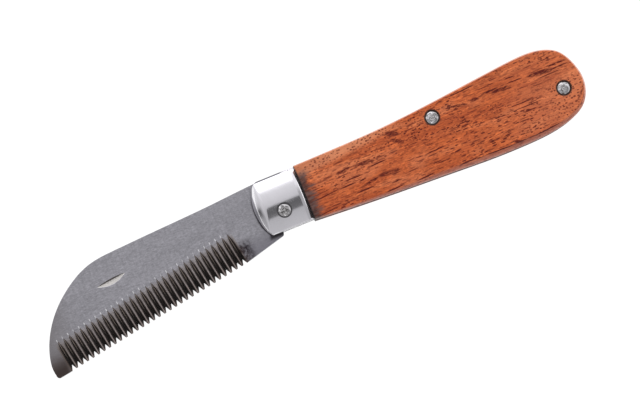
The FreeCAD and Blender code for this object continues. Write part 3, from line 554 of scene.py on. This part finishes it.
    # the nail nick's floor: a painted highlight (pale steel colour) standing in for its reflection, with a painted
    # shadow line at the bottom of its steep side
    nick_highlight_shadow = t.math("MULTIPLY", t.ramp(depth, 0.01, 0.06), t.ramp(S, GROOVE_S + 3.0, GROOVE_S + 4.0))
    nick_highlight_shadow = t.math("MULTIPLY", nick_highlight_shadow, t.ramp(X, -50.0, -51.5))
    nd = t.math("SUBTRACT", t.math("SUBTRACT", Y, 0.02), t.math("MULTIPLY", t.math("ADD", X, 63.3), 1.13 / 10.2))
    nick_highlight_shadow = t.math("MULTIPLY", nick_highlight_shadow, t.math("MULTIPLY", t.ramp(depth, 1.6, 1.3), t.ramp(t.math("ABSOLUTE", nd), 2.8, 2.4)))
    col = t.mix(t.math("MULTIPLY", nick_highlight_shadow, 0.92), col, t.mix(t.ramp(nd, -0.03, 0.10), lin((208, 205, 199)), lin((66, 56, 52))))
    t.put(bsdf.inputs["Base Color"], col)
    t.put(bsdf.inputs["Metallic"], t.math("SUBTRACT", 1.0, t.math("MAXIMUM", t.math("MULTIPLY", groove, 0.90), t.math("MULTIPLY", nick_highlight_shadow, 0.7))))
    r = t.math("ADD", 0.30, t.math("MULTIPLY", lines, 0.10))
    r = t.math("ADD", r, t.math("MULTIPLY", groove, 0.25))
    r = t.math("ADD", r, t.math("MULTIPLY", pat, 0.12))
    r = t.math("ADD", r, t.math("MULTIPLY", nick_highlight_shadow, 0.25))
    t.put(bsdf.inputs["Roughness"], r)
    bm = t.node("ShaderNodeBump")
    bm.inputs["Distance"].default_value = 0.00001
    bm.inputs["Strength"].default_value = 0.35
    t.put(bm.inputs["Height"], t.math("ADD", lines, lines2))
    t.put(bsdf.inputs["Normal"], bm.outputs[0])
    return mat


def bolster_material():
    mat, t, bsdf, mm = material("bolster_polished")
    X, Y, Z = t.sep(mm)
    s1 = t.noise(t.mapping(mm, rot=(0, 0, 0.5), scale=(0.35, 9.0, 9.0)), 1.0, 3.0, 0.65).outputs["Fac"]
    s2 = t.noise(t.mapping(mm, rot=(0, 0, -0.9), scale=(0.30, 11.0, 11.0)), 1.0, 3.0, 0.65).outputs["Fac"]
    sc = t.math("MAXIMUM", t.ramp(s1, 0.60, 0.75), t.ramp(s2, 0.62, 0.78))
    cloud = t.noise(mm, 0.25, 3.0, 0.55).outputs["Fac"]
    v = t.math("SUBTRACT", 1.0, t.math("MULTIPLY", sc, 0.06))
    v = t.math("MULTIPLY", v, t.ramp(cloud, 0.3, 0.7, 0.965, 1.0))
    col = t.mix(1.0, lin((236, 235, 238)), t.comb(v, v, v), "MULTIPLY")
    # painted shade in and round the rosette pocket: a dark ring at its mouth
    dv = t.node("ShaderNodeVectorMath", operation="LENGTH")
    t.put(dv.inputs[0], t.comb(X, Y, 0.0))
    col = t.mix(t.ramp(dv.outputs["Value"], 2.36, 2.50, 0.85, 0.0), col, lin((40, 38, 38)))
    # painted shade: a dark line along the sharp top edge
    top = t.math("MULTIPLY", t.ramp(Y, 10.92, 11.20), t.ramp(X, 4.6, 2.6))
    col = t.mix(t.math("MULTIPLY", top, 0.88), col, lin((66, 66, 72)))
    # a painted highlight along the rear edge, at the joint with the scale
    rear_edge_highlight = t.ramp(X, 6.80, 6.95)
    col = t.mix(rear_edge_highlight, col, lin((252, 252, 254)))
    # dull bits on the cut corner, a dull belly wall, and black grime packed in the joint
    bits = t.math("MULTIPLY", t.math("MULTIPLY", t.ramp(Y, 10.75, 10.95), t.ramp(X, 3.6, 4.4)), t.ramp(t.noise(t.mapping(mm, scale=(1.3, 2.2, 1.0)), 1.0, 2.0, 0.6).outputs["Fac"], 0.42, 0.58, 0.0, 0.75))
    wall = t.math("MULTIPLY", t.ramp(Y, -5.62, -5.78), t.ramp(X, -4.8, -3.0))
    dull = t.math("MAXIMUM", bits, t.math("MULTIPLY", wall, 0.9))
    col = t.mix(dull, col, lin((172, 170, 176)))
    packed = t.math("MULTIPLY", t.ramp(X, 7.32, 7.42), t.ramp(Y, 11.5, 11.2, 0.35, 0.96))
    col = t.mix(packed, col, lin((20, 17, 18)))
    t.put(bsdf.inputs["Base Color"], col)
    t.put(bsdf.inputs["Metallic"], t.math("SUBTRACT", 1.0, t.math("MULTIPLY", t.math("MAXIMUM", dull, packed), 0.85)))
    t.put(bsdf.inputs["Roughness"], t.math("ADD", 0.085, t.math("MULTIPLY", sc, 0.12)))
    bm = t.node("ShaderNodeBump")
    bm.inputs["Distance"].default_value = 0.00001
    bm.inputs["Strength"].default_value = 0.25
    t.put(bm.inputs["Height"], t.math("SUBTRACT", 1.0, sc))
    t.put(bsdf.inputs["Normal"], bm.outputs[0])
    return mat


M["blade"] = blade_material()
M["bolster"] = bolster_material()
def liner_material():
    mat, t, bsdf, mm = material("liner_steel_painted_shade")
    X, Y, Z = t.sep(mm)
    lines = t.noise(t.mapping(mm, scale=(0.08, 1.4, 1.4)), 1.0, 3.0, 0.6).outputs["Fac"]
    v = t.ramp(lines, 0.2, 0.8, 0.9, 1.08, smooth=False)
    # painted shade: the liner is darkened where it shows under the scales, and left bright steel by the bolster
    col = t.mix(1.0, lin((122, 114, 111)), t.comb(v, v, v), "MULTIPLY")
    col = t.mix(t.ramp(X, 7.9, 7.3), col, lin((214, 213, 216)))
    t.put(bsdf.inputs["Base Color"], col)
    bsdf.inputs["Metallic"].default_value = 1.0
    t.put(bsdf.inputs["Roughness"], t.ramp(lines, 0.2, 0.8, 0.30, 0.42))
    return mat


M["liner"] = liner_material()
# the spring's steel is darkened as painted shade where it shows between the scales
M["spring"] = steel("spring_steel_painted_shade", (132, 127, 126), 0.32, (70, 1200, 1200), 0.18, 0.03, tint=(120, 110, 102), spots=0.3)


def pin_material():
    mat, t, bsdf, mm = material("pin_hammered_metal")
    n1 = t.noise(mm, 1.5, 2.0, 0.5).outputs["Fac"]
    n2 = t.noise(mm, 5.0, 2.0, 0.5).outputs["Fac"]
    col = t.mix(t.ramp(n2, 0.45, 0.7, 0.0, 0.5), lin((192, 191, 190)), lin((98, 92, 88)))
    # painted shade in the deepest dents of the pivot's peened end: a dark ring and a dark fold
    X, Y, Z = t.sep(mm)
    rr = t.node("ShaderNodeVectorMath", operation="LENGTH")
    t.put(rr.inputs[0], t.comb(X, Y, 0.0))
    rr = rr.outputs["Value"]
    here = t.math("LESS_THAN", rr, 1.5)
    ring = t.math("MULTIPLY", t.math("MULTIPLY", t.ramp(rr, 0.34, 0.44), t.ramp(rr, 0.86, 0.66)), t.ramp(n1, 0.38, 0.62, 0.35, 1.0))
    dent_fold_shade = t.math("MULTIPLY", t.ramp(t.math("ABSOLUTE", t.math("ADD", t.math("ADD", Y, 0.30), t.math("MULTIPLY", X, -0.10))), 0.26, 0.12), t.ramp(rr, 0.3, 0.5))
    col = t.mix(t.math("MULTIPLY", here, t.math("MAXIMUM", t.math("MULTIPLY", ring, 0.75), t.math("MULTIPLY", dent_fold_shade, 0.85))), col, lin((52, 49, 48)))
    t.put(bsdf.inputs["Base Color"], col)
    bsdf.inputs["Metallic"].default_value = 1.0
    t.put(bsdf.inputs["Roughness"], t.ramp(n2, 0.3, 0.7, 0.14, 0.30))
    bm = t.node("ShaderNodeBump")
    bm.inputs["Distance"].default_value = 0.0003
    bm.inputs["Strength"].default_value = 0.9
    t.put(bm.inputs["Height"], n1)
    t.put(bsdf.inputs["Normal"], bm.outputs[0])
    return mat


M["pin"] = pin_material()
M["rosette"] = steel("rosette_hammered_metal", (188, 187, 187), 0.12, (900, 1500, 1500), 0.20, 0.05, tint=(128, 122, 116), spots=0.3)


# ---------------------------------------------------------------------------
# own meshes
# ---------------------------------------------------------------------------
import numpy as np


def natural_spline(pts, n_out, ends=None):
    """Points along a natural cubic spline through pts, evenly spaced by length."""
    p = np.array(pts, float)
    t = np.concatenate([[0], np.cumsum(np.hypot(*np.diff(p, axis=0).T))])
    n = len(p)
    h = np.diff(t)
    A = np.zeros((n, n))
    B = np.zeros((n, 2))
    A[0, 0] = A[-1, -1] = 1
    for i in range(1, n - 1):
        A[i, i - 1], A[i, i], A[i, i + 1] = h[i - 1], 2 * (h[i - 1] + h[i]), h[i]
        B[i] = 6 * ((p[i + 1] - p[i]) / h[i] - (p[i] - p[i - 1]) / h[i - 1])
    m2 = np.linalg.solve(A, B)
    tt = np.linspace(0, t[-1], 6000)
    k = np.clip(np.searchsorted(t, tt, side="right") - 1, 0, n - 2)
    u = tt - t[k]
    hk = h[k]
    v = hk - u
    q = (m2[k] * (v ** 3)[:, None] + m2[k + 1] * (u ** 3)[:, None]) / (6 * hk)[:, None] \
        + (p[k] / hk[:, None] - m2[k] * hk[:, None] / 6) * v[:, None] + (p[k + 1] / hk[:, None] - m2[k + 1] * hk[:, None] / 6) * u[:, None]
    L = np.concatenate([[0], np.cumsum(np.hypot(*np.diff(q, axis=0).T))])
    want = np.linspace(0, L[-1], n_out)
    return np.stack([np.interp(want, L, q[:, 0]), np.interp(want, L, q[:, 1])], 1)


def finish_mesh(bm, name, mat, body, nodes, sharp=28):
    me = bpy.data.meshes.new(name)
    bmesh.ops.recalc_face_normals(bm, faces=bm.faces[:])
    bm.to_mesh(me)
    bm.free()
    for poly in me.polygons:
        poly.use_smooth = True
    me.set_sharp_from_angle(angle=math.radians(sharp))
    me.materials.append(mat)
    o = bpy.data.objects.new(name, me)
    scene.collection.objects.link(o)
    if body:
        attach(o, body)
    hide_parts(*nodes)
    return o


def circle(at, r, z, n=56):
    return [P(at[0] + r * math.cos(2 * math.pi * i / n), at[1] + r * math.sin(2 * math.pi * i / n), z) for i in range(n)]


def loop(bm, pts):
    vs = [bm.verts.new(p) for p in pts]
    es = [bm.edges.new((vs[i], vs[(i + 1) % len(vs)])) for i in range(len(vs))]
    return vs, es


def skin(bm, a, b):
    n = len(a)
    for i in range(n):
        j = (i + 1) % n
        bm.faces.new((a[i], a[j], b[j], b[i]))


def edge_round(x, y, f):
    """Width and depth of the scale's rounded edge, and how crisp its inner line is, at a point of the outline."""
    # f runs from the joint along the back (0), round the butt (about 0.5), to the joint along the belly (1)
    keys = [(0.0, 0.50, 1.6, 14), (0.20, 0.55, 2.0, 16), (0.42, 0.60, 2.2, 18), (0.50, 0.80, 2.6, 22), (0.58, 1.20, 3.3, 30),
            (0.66, 1.45, 3.6, 34), (0.78, 1.30, 3.4, 34), (0.86, 0.95, 2.8, 28), (0.94, 0.60, 2.0, 20), (1.0, 0.50, 1.6, 14)]
    for (f0, w0, d0, a0), (f1, w1, d1, a1) in zip(keys, keys[1:]):
        if f <= f1:
            t_ = (f - f0) / (f1 - f0)
            t_ = t_ * t_ * (3 - 2 * t_)
            return w0 + (w1 - w0) * t_, d0 + (d1 - d0) * t_, a0 + (a1 - a0) * t_
    return keys[-1][1:]


def make_scale(name, mat, node, flip):
    N = 300
    out = natural_spline(GRIP, N)
    out[0, 0] = out[-1, 0] = X_SCALE
    tang = np.gradient(out, axis=0)
    tang /= np.hypot(tang[:, 0], tang[:, 1])[:, None]
    inward = np.stack([tang[:, 1], -tang[:, 0]], 1)
    inward[0], inward[-1] = (0, -1), (0, 1)
    NJ = 14
    K = 8

    def zz(z):
        return 14.0 - z if flip else z

    def ring(k):
        """k = 0 is the inner line of the rounding on the face, K its outer line on the wall, K + 1 the liner side."""
        pts = []
        for i in range(N):
            w, d, a0 = edge_round(out[i, 0], out[i, 1], i / (N - 1))
            a0 = math.radians(a0)
            if k <= K:
                th = a0 + (math.pi / 2 - a0) * k / K
                wr = w / (1 - math.sin(a0))
                inset = wr * (1 - math.sin(th))
                drop = d * (math.cos(a0) - math.cos(th)) / math.cos(a0)
                z = Z_SCALE - drop
            else:
                inset, z = 0.0, Z_SIDE
            x, y = out[i] + inward[i] * inset
            if i in (0, N - 1):
                x = X_SCALE + (0.16 * (1 - k / 2) if k < 2 else 0.0)
                if k <= 1:
                    z -= 0.0
            pts.append((x, y, z))
        # along the joint, back to the first point
        x0, y0, z0 = pts[-1]
        x1, y1, z1 = pts[0]
        ease = [0.16, 0.08, 0.02][k] if k < 3 else 0.0
        for j in range(1, NJ):
            f = j / NJ
            if k <= K:
                # the face's end: a small ease into the joint
                dz = [0.0, 0.05, 0.16][k] if k < 3 else 0.16 + (Z_SCALE - 0.16 - z0) * 0
                z = Z_SCALE - dz if k < 3 else min(Z_SCALE - 0.16, z0 + (z1 - z0) * f + 0.0)
                if k >= 3:
                    z = min(z, z0 + (z1 - z0) * f)
            else:
                z = Z_SIDE
            pts.append((X_SCALE + ease, y0 + (y1 - y0) * f, z))
        return [P(x, y, zz(z)) for x, y, z in pts]

    bm = bmesh.new()
    rings = [loop(bm, ring(k)) for k in range(K + 2)]
    for a, b in zip(rings, rings[1:]):
        skin(bm, a[0], b[0])
    face_edges = list(rings[0][1])
    back_edges = list(rings[-1][1])
    for at in (CENTRE, BUTT):
        lips = [loop(bm, circle(at, r, zz(z))) for r, z in ((2.50, Z_SCALE), (2.42, Z_SCALE - 0.03), (2.38, Z_SCALE - 0.12), (2.38, Z_SCALE - 0.86), (1.01, Z_SCALE - 0.86), (1.01, Z_SIDE))]
        for a, b in zip(lips, lips[1:]):
            skin(bm, a[0], b[0])
        face_edges += lips[0][1]
        back_edges += lips[-1][1]
    bmesh.ops.triangle_fill(bm, edges=face_edges, use_beauty=True)
    bmesh.ops.triangle_fill(bm, edges=back_edges, use_beauty=True)
    return finish_mesh(bm, name, mat, "handle", [node], sharp=17)


scale_f = make_scale("scale_front_wood", M["wood_front"], "front_scale", False)
scale_r = make_scale("scale_rear_wood", M["wood_rear"], "rear_scale", True)


def make_rosette(name, at, pin_r, z_face, node, flip, seed):
    """Domed washer with the small flats that a peening hammer leaves, round the pin's end."""
    rng = np.random.RandomState(seed)
    R, z0, top = 2.08, z_face - 0.86, z_face - 0.045
    blows = [(rng.uniform(0.8, 1.9), rng.uniform(0, 2 * math.pi), rng.uniform(0.30, 0.60), rng.uniform(0.08, 0.20)) for _ in range(14)]
    NR, NA = 16, 72

    def zz(z):
        return 14.0 - z if flip else z

    def height(r, a):
        z = top - 0.50 * (r / R) ** 2.3
        x, y = r * math.cos(a), r * math.sin(a)
        for br, ba, bw, bd in blows:
            dx, dy = x - br * math.cos(ba), y - br * math.sin(ba)
            z -= bd * math.exp(-((dx * dx + dy * dy) / (bw * bw)) ** 1.5)
        return z

    bm = bmesh.new()
    rings = []
    r_in = pin_r + 0.01
    prof = [r_in + (R - 0.10 - r_in) * i / (NR - 1) for i in range(NR)]
    base = [bm.verts.new(P(at[0] + r_in * math.cos(2 * math.pi * j / NA), at[1] + r_in * math.sin(2 * math.pi * j / NA), zz(z0))) for j in range(NA)]
    rings.append(base)
    for i, r in enumerate(prof):
        rings.append([bm.verts.new(P(at[0] + r * math.cos(2 * math.pi * j / NA), at[1] + r * math.sin(2 * math.pi * j / NA),
                                     zz(height(r, 2 * math.pi * j / NA) - (0.03 if i == 0 else 0.0)))) for j in range(NA)])
    for dr, dz in ((0.03, 0.10), (0.0, 0.22)):
        r = R - dr
        rings.append([bm.verts.new(P(at[0] + r * math.cos(2 * math.pi * j / NA), at[1] + r * math.sin(2 * math.pi * j / NA),
                                     zz(height(R - 0.10, 2 * math.pi * j / NA) - dz))) for j in range(NA)])
    rings.append([bm.verts.new(P(at[0] + R * math.cos(2 * math.pi * j / NA), at[1] + R * math.sin(2 * math.pi * j / NA), zz(z0))) for j in range(NA)])
    for a, b in zip(rings, rings[1:]):
        skin(bm, a, b)
    skin(bm, rings[-1], rings[0])
    return finish_mesh(bm, name, M["rosette"], "handle", [node], sharp=50)


NOSE = [(-5.3, 11.45), (-6.35, 10.75), (-7.6, 8.6), (-8.5, 5.9), (-8.8, 2.3), (-8.4, -0.75), (-7.7, -3.4), (-6.5, -5.35)]
BOL_TOP, BOL_BOT, X_JOINT = 11.62, -5.85, 7.6
CROWN_R, CROWN_Y = 31.0, 2.9
from mathutils import noise as mnoise


def circle_through(a, b, c):
    ax, ay, bx, by, cx, cy = *a, *b, *c
    d = 2 * (ax * (by - cy) + bx * (cy - ay) + cx * (ay - by))
    ux = ((ax * ax + ay * ay) * (by - cy) + (bx * bx + by * by) * (cy - ay) + (cx * cx + cy * cy) * (ay - by)) / d
    uy = ((ax * ax + ay * ay) * (cx - bx) + (bx * bx + by * by) * (ax - cx) + (cx * cx + cy * cy) * (bx - ax)) / d
    return ux, uy, math.hypot(ax - ux, ay - uy)


def make_bolster(name, node, flip, facet):
    """Crowned, polished bolster with its bevelled nose, rolled rear edge and rosette pocket."""
    dense = natural_spline([(-4.55, 11.62), (-4.95, 11.59)] + NOSE + [(-6.25, -5.70), (-5.8, -5.85)], 400)
    order = np.argsort(dense[:, 1])
    ny, nx_ = dense[order, 1], dense[order, 0]
    bu, bv, br = circle_through((0.0, 13.42), (2.0, 12.25), (3.85, 9.75))
    axis_z = Z_BOL - CROWN_R
    ease_r = (1.9 ** 2 + 0.46 ** 2) / (2 * 0.46)
    # facet plane
    fa = Vector((3.6, 11.62, axis_z + math.sqrt(CROWN_R ** 2 - (11.62 - CROWN_Y) ** 2) - 0.16))
    fb = Vector((7.6, 9.35, axis_z + math.sqrt(CROWN_R ** 2 - (9.35 - CROWN_Y) ** 2)))
    fc = Vector((7.6, 11.62, axis_z + math.sqrt(CROWN_R ** 2 - (11.62 - CROWN_Y) ** 2) - 0.95))
    fn = (fb - fa).cross(fc - fa)
    if fn.z < 0:
        fn = -fn

    def smin(a, b, k_):
        h = max(k_ - abs(a - b), 0.0) / k_
        return min(a, b) - h * h * k_ * 0.25

    def height(x, y):
        z = axis_z + math.sqrt(CROWN_R ** 2 - (y - CROWN_Y) ** 2)
        for e, er in ((y - BOL_BOT, 0.34), (BOL_TOP - y, 0.7)):
            if e < er:
                z -= er - math.sqrt(max(0.0, er * er - (er - e) ** 2))
        t_ = x - (X_JOINT - 1.9)
        if t_ > 0:
            z -= ease_r - math.sqrt(ease_r ** 2 - t_ * t_)
        if facet:
            z = smin(z, fa.z - (fn.x * (x - fa.x) + fn.y * (y - fa.y)) / fn.z, 0.05)
        tb = (-5.35 + (y - CROWN_Y) * math.tan(math.radians(2.6))) - x
        if tb > -1.0:
            tt = max(tb, -0.9)
            zb = bv + math.sqrt(max(0.01, br * br - (tt - bu) ** 2)) if bv < 12 else 13.4
            zb -= 0.030 * max(0.0, tt) / 3.85 * (y - CROWN_Y) ** 2
            z = smin(z, zb, 0.28)
        z += 0.0035 * mnoise.noise(Vector((x / 2.8, y / 4.5, 3.7 if flip else 0.3)))
        return max(z, Z_SIDE + 0.35)

    NX, NY = 96, 84
    ys = []
    for j in range(NY + 1):
        f = j / NY
        f = 0.5 - 0.5 * math.cos(math.pi * f) if False else f
        c = (1 - math.cos(math.pi * f)) / 2
        ys.append(BOL_BOT + (BOL_TOP - BOL_BOT) * (0.35 * f + 0.65 * c))

    def zz(z):
        return 14.0 - z if flip else z

    bm = bmesh.new()
    grid = []
    for y in ys:
        x0 = float(np.interp(y, ny, nx_))
        col = []
        for i in range(NX + 1):
            f = i / NX
            f = 0.55 * f + 0.45 * (1 - math.cos(math.pi * f)) / 2
            x = x0 + (X_JOINT - x0) * f
            z = height(x, y)
            if i == 0:
                z = max(Z_SIDE + 0.3, z - 0.12)
            if i == NX:
                z -= 0.05
            col.append(bm.verts.new(P(x, y, zz(z))))
        grid.append(col)
    for j in range(NY):
        for i in range(NX):
            bm.faces.new((grid[j][i], grid[j][i + 1], grid[j + 1][i + 1], grid[j + 1][i]))
    rim = grid[0][:] + [grid[j][NX] for j in range(1, NY + 1)] + grid[NY][-2::-1] + [grid[j][0] for j in range(NY - 1, 0, -1)]
    low = [bm.verts.new((v.co.x, v.co.y, zz(Z_SIDE) * MM)) for v in rim]
    skin(bm, rim, low)
    bm.faces.new(low)
    bmesh.ops.recalc_face_normals(bm, faces=bm.faces[:])
    me_ = bpy.data.meshes.new(name + "_raw")
    bm.to_mesh(me_)
    bm.free()
    raw = bpy.data.objects.new(name + "_raw", me_)
    scene.collection.objects.link(raw)
    # pocket and bore
    cb = bmesh.new()
    prof = [(1.21, 8.0), (1.21, 12.54), (2.38, 12.54), (2.38, 15.0)]
    rings = [[cb.verts.new(P(r * math.cos(2 * math.pi * i / 72), r * math.sin(2 * math.pi * i / 72), zz(z))) for i in range(72)] for r, z in prof]
    for a_, b_ in zip(rings, rings[1:]):
        skin(cb, a_, b_)
    cb.faces.new(rings[0])
    cb.faces.new(rings[-1])
    bmesh.ops.recalc_face_normals(cb, faces=cb.faces[:])
    cm = bpy.data.meshes.new(name + "_cut")
    cb.to_mesh(cm)
    cb.free()
    cut = bpy.data.objects.new(name + "_cut", cm)
    scene.collection.objects.link(cut)
    md = raw.modifiers.new("pocket", "BOOLEAN")
    md.operation, md.solver, md.object = "DIFFERENCE", "EXACT", cut
    bpy.context.view_layer.update()
    done = bpy.data.meshes.new_from_object(raw.evaluated_get(bpy.context.evaluated_depsgraph_get()))
    bpy.data.objects.remove(raw)
    bpy.data.objects.remove(cut)
    bm = bmesh.new()
    bm.from_mesh(done)
    return finish_mesh(bm, name, M["bolster"], "handle", [node], sharp=24)


make_bolster("bolster_front_polished", "front_bolster", False, True)
make_bolster("bolster_rear_polished", "rear_bolster", True, False)

k = 0
for label, at, pin_r, zf in (("pivot", PIVOT, 1.2, Z_BOL), ("centre", CENTRE, 1.0, Z_SCALE), ("butt", BUTT, 1.0, Z_SCALE)):
    for side_name, flip in (("front", False), ("rear", True)):
        k += 1
        make_rosette(f"rosette_{side_name}_{label}", at, pin_r, zf, f"{side_name}_{label}_rosette", flip, 40 + k)

# the backspring bends between the centre pin and its free end, so it is sliced along its length
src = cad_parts["backspring"]
bm = bmesh.new()
bm.from_mesh(src.data)
bmesh.ops.remove_doubles(bm, verts=bm.verts[:], dist=1e-6)
for i in range(30):
    x = P(9.0 + 1.5 * i, 0).x
    bmesh.ops.bisect_plane(bm, geom=bm.verts[:] + bm.edges[:] + bm.faces[:], plane_co=(x, 0, 0), plane_no=(1, 0, 0), dist=1e-7)
spring = finish_mesh(bm, "spring_flexing", M["spring"], None, ["backspring"], sharp=30)
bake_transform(spring)

BY_NODE = {"blade": "blade", "backspring": "spring", "front_liner": "liner", "rear_liner": "liner",
           "front_bolster": "bolster", "rear_bolster": "bolster", "front_scale": "wood_front", "rear_scale": "wood_rear",
           "pivot_pin": "pin", "centre_pin": "pin", "butt_pin": "pin",
           "front_bolster_rivets": "pin", "rear_bolster_rivets": "pin"}
for n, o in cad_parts.items():
    key = BY_NODE.get(n, "rosette")
    for i in range(len(o.material_slots)):
        o.material_slots[i].material = M[key]
